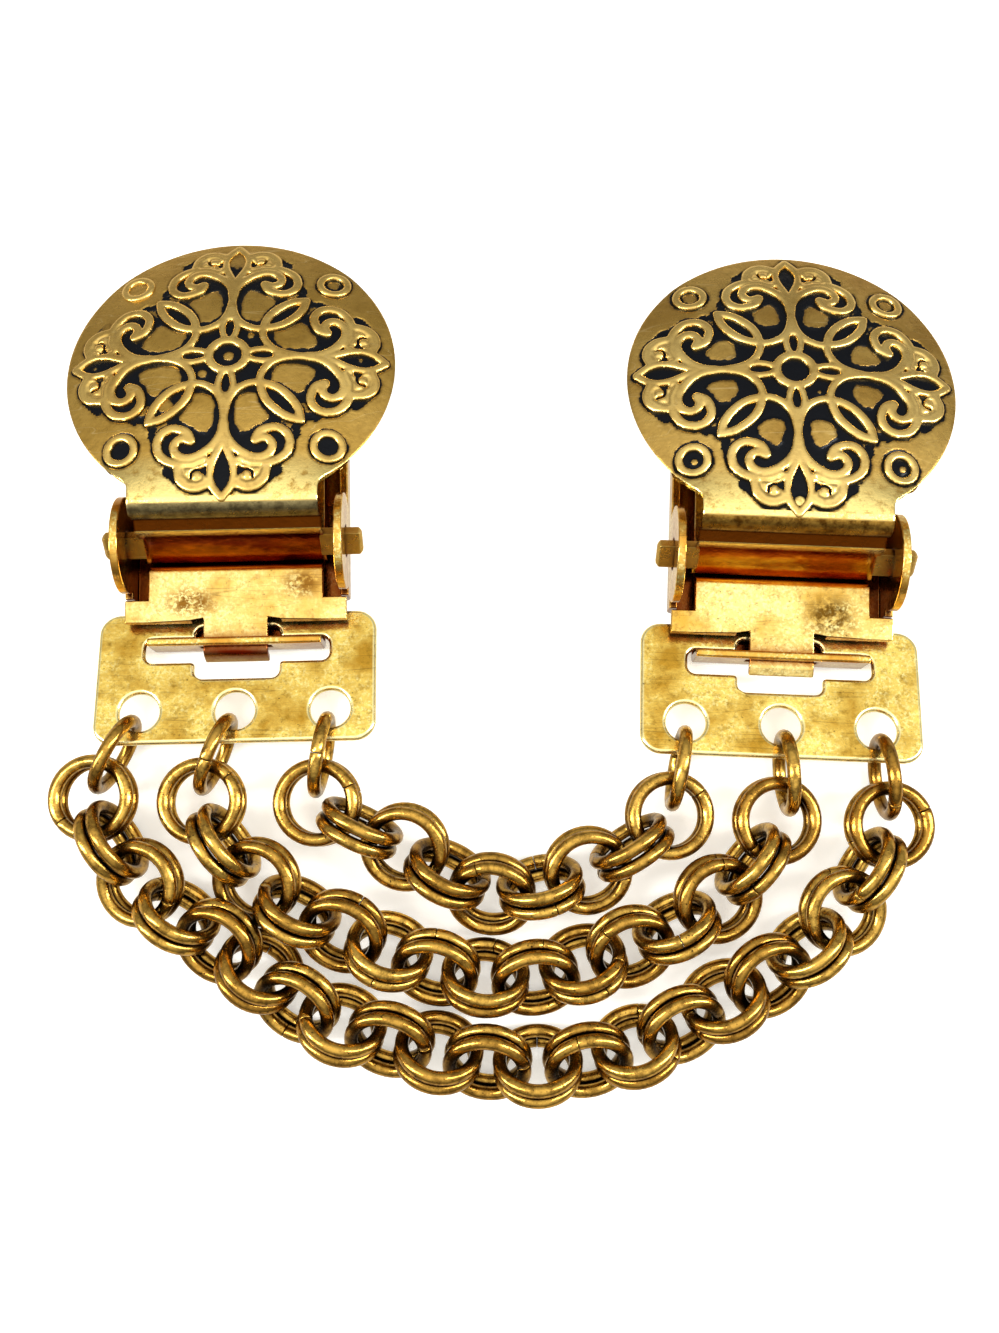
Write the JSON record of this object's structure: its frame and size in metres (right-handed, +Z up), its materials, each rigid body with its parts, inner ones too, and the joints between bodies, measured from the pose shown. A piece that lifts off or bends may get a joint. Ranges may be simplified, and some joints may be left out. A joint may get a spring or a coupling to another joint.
{
  "type": "sweater clip",
  "caption": "Sweater clip with round domed lever clips hooked into slotted end plates that strands of double-ring chain join.",
  "frame": {"origin": "on the table, under the middle of the bounding box", "axes": "+X to the right, +Y from the chain towards the round faces, +Z up"},
  "size_m": [0.0865, 0.0845, 0.0118],
  "materials": {
    "face_gold": "satin gold plating with blue-black enamel in the recesses of the ornament",
    "plate_gold": "polished gold plating, finely scratched and mottled",
    "bright_gold": "bright polished gold plating",
    "chain_gold": "antique gold plating, tarnished dark between the rings"
  },
  "bodies": {
    "chain": {"left_end_plate": "plate_gold", "right_end_plate": "plate_gold", "left_jump_ring_1": "chain_gold", "left_jump_ring_2": "chain_gold", "left_jump_ring_3": "chain_gold", "right_jump_ring_1": "chain_gold", "right_jump_ring_2": "chain_gold", "right_jump_ring_3": "chain_gold", "strand_outer": "chain_gold", "strand_middle": "chain_gold", "strand_inner": "chain_gold"},
    "left_clip": {"left_clip_base": "plate_gold"},
    "left_jaw": {"left_jaw_plate": "bright_gold"},
    "left_arm": {"left_lever": "face_gold"},
    "right_clip": {"right_clip_base": "plate_gold"},
    "right_jaw": {"right_jaw_plate": "bright_gold"},
    "right_arm": {"right_lever": "face_gold"}
  },
  "joints": [
    {"name": "left_hook", "type": "hinge", "parent": "chain", "child": "left_clip", "pos_m": [-0.02593, 0.00297, 0.00178], "axis": [0.9997, 0.0227, 0], "range_deg": [-30, 12]},
    {"name": "left_lever_hinge", "type": "hinge", "parent": "left_clip", "child": "left_arm", "pos_m": [-0.0261, 0.0105, 0.00505], "axis": [0.9997, 0.0227, 0], "range_deg": [0, 90]},
    {"name": "left_jaw_hinge", "type": "hinge", "parent": "left_clip", "child": "left_jaw", "pos_m": [-0.02589, 0.0011, 0.00335], "axis": [0.9997, 0.0227, 0], "range_deg": [0, 4]},
    {"name": "right_hook", "type": "hinge", "parent": "chain", "child": "right_clip", "pos_m": [0.02668, 0.00148, 0.00178], "axis": [0.9991, -0.0419, 0], "range_deg": [-30, 12]},
    {"name": "right_lever_hinge", "type": "hinge", "parent": "right_clip", "child": "right_arm", "pos_m": [0.027, 0.009, 0.00505], "axis": [0.9991, -0.0419, 0], "range_deg": [0, 90]},
    {"name": "right_jaw_hinge", "type": "hinge", "parent": "right_clip", "child": "right_jaw", "pos_m": [0.02661, -0.00039, 0.00335], "axis": [0.9991, -0.0419, 0], "range_deg": [0, 4]}
  ],
  "couplings": [
    {"joint": "left_jaw_hinge", "follows": "left_lever_hinge", "ratio": 0.0444},
    {"joint": "right_jaw_hinge", "follows": "right_lever_hinge", "ratio": 0.0444}
  ]
}
